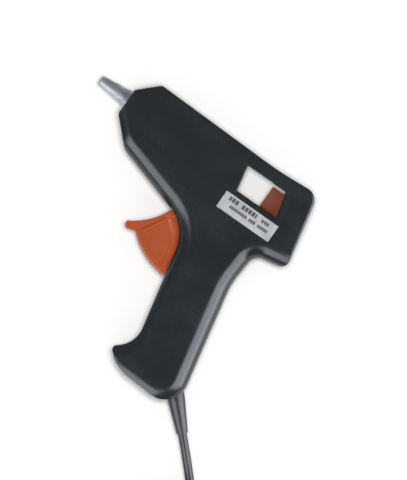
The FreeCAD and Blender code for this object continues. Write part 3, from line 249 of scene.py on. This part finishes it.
# Each slot's recipe, with its colours and roughness.
RECIPES = {
    "black_plastic": (moulded, (0.0052, 0.0078, 0.0098), (0.008, 0.0112, 0.0137), 0.25),
    "orange_plastic": (moulded, (0.305, 0.053, 0.0095), (0.35, 0.062, 0.012), 0.30),
    # The carriage is the trigger's orange plastic, darkened with painted shade for the shadow it sits in
    # behind the window.
    "carriage_plastic": (moulded, (0.112, 0.027, 0.0095), (0.15, 0.035, 0.0125), 0.42),
    "nozzle_aluminium": (turned_metal, (0.40, 0.41, 0.42), 0.62, RINGS_ALONG_X),
    "chamber_aluminium": (plain_metal, (0.6, 0.6, 0.6), 0.5),
    "label_foil": (label_foil,),
    "screw_steel": (turned_metal, (0.5, 0.5, 0.5), 0.3, RINGS_ALONG_Z),
    "spring_steel": (plain_metal, (0.45, 0.45, 0.46), 0.32),
    "heater_ceramic": (soft_skin, (0.03, 0.027, 0.025), (0.05, 0.045, 0.04), 0.7),
    "contact_brass": (plain_metal, (0.62, 0.42, 0.16), 0.35),
    "amber_film": (soft_skin, (0.4, 0.16, 0.02), (0.5, 0.22, 0.03), 0.25),
    "red_silicone": (soft_skin, (0.26, 0.03, 0.02), (0.33, 0.045, 0.03), 0.55),
    "brown_insulation": (soft_skin, (0.09, 0.035, 0.015), (0.12, 0.05, 0.02), 0.4),
    "blue_insulation": (soft_skin, (0.03, 0.1, 0.32), (0.05, 0.14, 0.4), 0.4),
    "black_rubber": (soft_skin, (0.008, 0.008, 0.009), (0.014, 0.014, 0.015), 0.3),
    "black_pvc": (soft_skin, (0.009, 0.009, 0.010), (0.014, 0.014, 0.016), 0.33),
    "tie_plastic": (moulded, (0.03, 0.03, 0.03), (0.04, 0.04, 0.04), 0.45),
}
MATERIALS = {slot: recipe(slot, *values) for slot, (recipe, *values) in RECIPES.items()}

# ---------------------------------------------------------------- CAD pieces

WELD_DISTANCE = 0.002 * MM
GENTLE_ANGLE = math.radians(27)


def smoothing():
    """A modifier group that joins a CAD node's faces and shades its gentle bends smoothly."""
    group = bpy.data.node_groups.new("smooth_cad", "GeometryNodeTree")
    group.interface.new_socket("Geometry", in_out="INPUT", socket_type="NodeSocketGeometry")
    group.interface.new_socket("Geometry", in_out="OUTPUT", socket_type="NodeSocketGeometry")
    new = group.nodes.new
    link = group.links.new
    entry = new("NodeGroupInput")
    leave = new("NodeGroupOutput")
    plain = new("GeometryNodeRemoveAttribute")
    plain.inputs["Name"].default_value = "custom_normal"
    weld = new("GeometryNodeMergeByDistance")
    weld.inputs["Distance"].default_value = WELD_DISTANCE
    faces = new("GeometryNodeSetShadeSmooth")
    faces.inputs["Shade Smooth"].default_value = True
    edges = new("GeometryNodeSetShadeSmooth")
    edges.domain = "EDGE"
    angle = new("GeometryNodeInputMeshEdgeAngle")
    gentle = new("FunctionNodeCompare")
    gentle.data_type = "FLOAT"
    gentle.operation = "LESS_THAN"
    gentle.inputs["B"].default_value = GENTLE_ANGLE
    link(entry.outputs[0], plain.inputs["Geometry"])
    link(plain.outputs[0], weld.inputs["Geometry"])
    link(weld.outputs[0], faces.inputs["Geometry"])
    link(faces.outputs[0], edges.inputs["Geometry"])
    link(angle.outputs["Unsigned Angle"], gentle.inputs["A"])
    link(gentle.outputs[0], edges.inputs["Shade Smooth"])
    link(edges.outputs[0], leave.inputs[0])
    return group


smooth_cad = smoothing()
slots = {entry["node"]: entry["material_slot"] for entry in record["subparts"]}
for name, thing in nodes.items():
    thing.data.materials.clear()
    thing.data.materials.append(MATERIALS[slots[name]])
    thing.modifiers.new("smooth", "NODES").node_group = smooth_cad
    thing.modifiers.new("weighted", "WEIGHTED_NORMAL").keep_sharp = True

# ---------------------------------------------------------------- springs


def living_spring(name):
    """A smooth-shaded copy of a spring's CAD mesh, shown in place of the CAD piece."""
    spring = bpy.data.objects.new(name + "_wire", nodes[name].data.copy())
    bpy.context.collection.objects.link(spring)
    spring.modifiers.new("smooth", "NODES").node_group = smooth_cad
    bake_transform(spring)
    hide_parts(name)


living_spring("return_spring")
living_spring("valve_spring")

# ---------------------------------------------------------------- cord, in mm

CORD_DIAMETER = 4.5
LEAD_ROUTE = [
    (70.6, -72.2, 13.0),
    (79.1, -80.7, 13.0),
    (91.3, -94.0, 6.2),
    (102.6, -108.0, 2.25),
    (112.1, -122.1, 2.25),
]

# The coil is seen from above: two flat layers, wound clockwise, inwards and then outwards.
COIL_CENTRE = Vector((85.4, -138.8, 0.0))
OUTER_TURN = 31.5
INNER_TURN = 18.0
WHOLE_TURNS = 7
TURNS_TO_CLIMB = 0.6
POINTS_PER_TURN = 24

# The tail's route is measured from the coil's centre, before it turns with the plug.
PLUG_TURN = math.radians(35)
TAIL_ROUTE = [
    (-1.0, -31.8, 6.75),
    (-13.2, -32.8, 6.3),
    (-25.6, -30.9, 5.8),
    (-36.6, -24.6, 5.6),
    (-43.2, -14.0, 6.2),
    (-43.4, -1.4, 8.0),
    (-37.2, 9.6, 11.2),
    (-26.2, 15.6, 14.2),
    (-13.6, 16.0, 15.1),
]

# Seen from the coil's centre, the turns start where the lead ends and end where the tail starts.
START_ANGLE = math.radians(32.0)
END_ANGLE = math.radians(-91.8) + PLUG_TURN


def coil_points():
    """The turns' points, from the end of the lead to the start of the tail."""
    total = WHOLE_TURNS + (START_ANGLE - END_ANGLE) / (2 * math.pi)
    count = round(total * POINTS_PER_TURN)
    inward = (OUTER_TURN - INNER_TURN) / CORD_DIAMETER
    climb_end = inward + TURNS_TO_CLIMB
    low = CORD_DIAMETER / 2
    points = []
    for i in range(1, count):
        turn = total * i / count
        if turn < inward:
            radius, height = OUTER_TURN - CORD_DIAMETER * turn, low
        elif turn < climb_end:
            share = (turn - inward) / (climb_end - inward)
            radius, height = INNER_TURN, low + CORD_DIAMETER * share
        else:
            radius = min(OUTER_TURN, INNER_TURN + CORD_DIAMETER * (turn - climb_end))
            height = low + CORD_DIAMETER
        angle = START_ANGLE - 2 * math.pi * turn
        points.append((
            COIL_CENTRE.x + radius * math.cos(angle),
            COIL_CENTRE.y + radius * math.sin(angle),
            height,
        ))
    return points


def beside_coil(point):
    turned = Matrix.Rotation(PLUG_TURN, 3, "Z") @ Vector(point)
    return tuple(turned + COIL_CENTRE)


def lay_spline(curve, points):
    """One smooth line in a curve, from the first point to the last and close by the others."""
    curve.dimensions = "3D"
    spline = curve.splines.new("NURBS")
    spline.points.add(len(points) - 1)
    for point, place in zip(spline.points, points):
        point.co = (*(Vector(place) * MM), 1.0)
    spline.order_u = 3
    spline.use_endpoint_u = True
    return spline


def curve_length(points):
    """The smooth line's length in metres, measured on a finer copy of it."""
    line = bpy.data.curves.new("line", "CURVE")
    line.resolution_u = 12
    length = lay_spline(line, points).calc_length()
    bpy.data.curves.remove(line)
    return length


route = LEAD_ROUTE + coil_points() + [beside_coil(p) for p in TAIL_ROUTE]
cord_curve = bpy.data.curves.new("mains_cord", "CURVE")
cord_curve.bevel_depth = CORD_DIAMETER / 2 * MM
cord_curve.bevel_resolution = 5
cord_curve.resolution_u = 5
cord_curve.use_fill_caps = True
lay_spline(cord_curve, route)
cord_curve.materials.append(MATERIALS["black_pvc"])
cord = bpy.data.objects.new("mains_cord", cord_curve)
bpy.context.collection.objects.link(cord)
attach(cord, "housing")
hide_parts("cord_lead", "cord_coil", "cord_tail")

cord_length = curve_length(route)

# ---------------------------------------------------------------- camera

VIEW_CENTRE = Vector((23.65, 13.5, 13.0)) * MM
VIEW_TURN = math.radians(35)
RIGHT = Vector((math.cos(VIEW_TURN), math.sin(VIEW_TURN), 0))
UPWARD = Vector((-math.sin(VIEW_TURN), math.cos(VIEW_TURN), 0))
OVERHEAD = Vector((0, 0, 1))
CAMERA_HEIGHT = 2.4
VIEW_HEIGHT = 241.6 * MM
SENSOR = 36.0

# The picture is taller than it is wide, so the sensor's size spans the view's height.
camera_data = bpy.data.cameras.new("camera")
camera_data.sensor_width = SENSOR
camera_data.lens = SENSOR * CAMERA_HEIGHT / VIEW_HEIGHT
camera = bpy.data.objects.new("camera", camera_data)
camera.location = VIEW_CENTRE + OVERHEAD * CAMERA_HEIGHT
camera.rotation_euler = (0, 0, VIEW_TURN)
bpy.context.collection.objects.link(camera)
bpy.context.scene.camera = camera

# ---------------------------------------------------------------- lights

COOL = (0.90, 0.92, 1.0)
WARM = (1.0, 0.99, 0.98)
TOP_TARGET = (0.03, 0.05, 0.0)
TOP_PLACE = (0.03, 0.05, 1.4)

# The lights that only show as highlights: metres up, right and over from the view's centre, their
# width and height in metres, and their watts.
HIGHLIGHTS = {
    "key": (-0.30, -0.27, 0.33, 0.5, 0.48, 3.4),
    "side": (-0.16, 0.38, 0.33, 0.5, 0.48, 4.2),
    "low": (-0.10, 0.50, 0.05, 0.6, 0.26, 2.6),
}


def soft_light(name, place, target, width, height, watts, tint):
    """A rectangular light at a place, facing its target."""
    data = bpy.data.lights.new(name, "AREA")
    data.shape = "RECTANGLE"
    data.size = width
    data.size_y = height
    data.energy = watts
    data.color = tint
    lamp = bpy.data.objects.new(name, data)
    lamp.location = place
    aim = Vector(target) - Vector(place)
    lamp.rotation_euler = aim.to_track_quat("-Z", "Y").to_euler()
    bpy.context.collection.objects.link(lamp)
    return lamp


for name, (up, across, over, width, height, watts) in HIGHLIGHTS.items():
    place = VIEW_CENTRE + UPWARD * up + RIGHT * across + OVERHEAD * over
    soft_light(name, place, VIEW_CENTRE, width, height, watts, COOL).visible_diffuse = False
soft_light("top", TOP_PLACE, TOP_TARGET, 0.25, 0.25, 19.5, WARM).visible_glossy = False

# ---------------------------------------------------------------- floor and sky

FLOOR_REACH = 3.0
FLOOR_DROP = 0.3 * MM
FLOOR_PATCH = 1 / 9
SKY_COLOUR = (0.92, 0.97, 1.0, 1.0)
SKY_STRENGTH = 0.3

floor_mesh = bpy.data.meshes.new("floor")
floor_mesh.from_pydata(
    [(x * FLOOR_REACH, y * FLOOR_REACH, 0) for x, y in ((-1, -1), (1, -1), (1, 1), (-1, 1))],
    [], [(0, 1, 2, 3)],
)
floor = bpy.data.objects.new("floor", floor_mesh)
floor.location = (0, 0, -FLOOR_DROP)
bpy.context.collection.objects.link(floor)
floor_shader = Shader("floor", roughness=0.75)
floor_shader.colour(floor_shader.mix(
    floor_shader.noise(FLOOR_PATCH, 2.0), (0.80, 0.80, 0.795), (0.83, 0.83, 0.825)
))
floor_mesh.materials.append(floor_shader.material)

world = bpy.data.worlds.new("world")
bpy.context.scene.world = world
world.use_nodes = True
background = world.node_tree.nodes["Background"]
background.inputs["Color"].default_value = SKY_COLOUR
background.inputs["Strength"].default_value = SKY_STRENGTH
bpy.context.scene.view_settings.view_transform = "Standard"
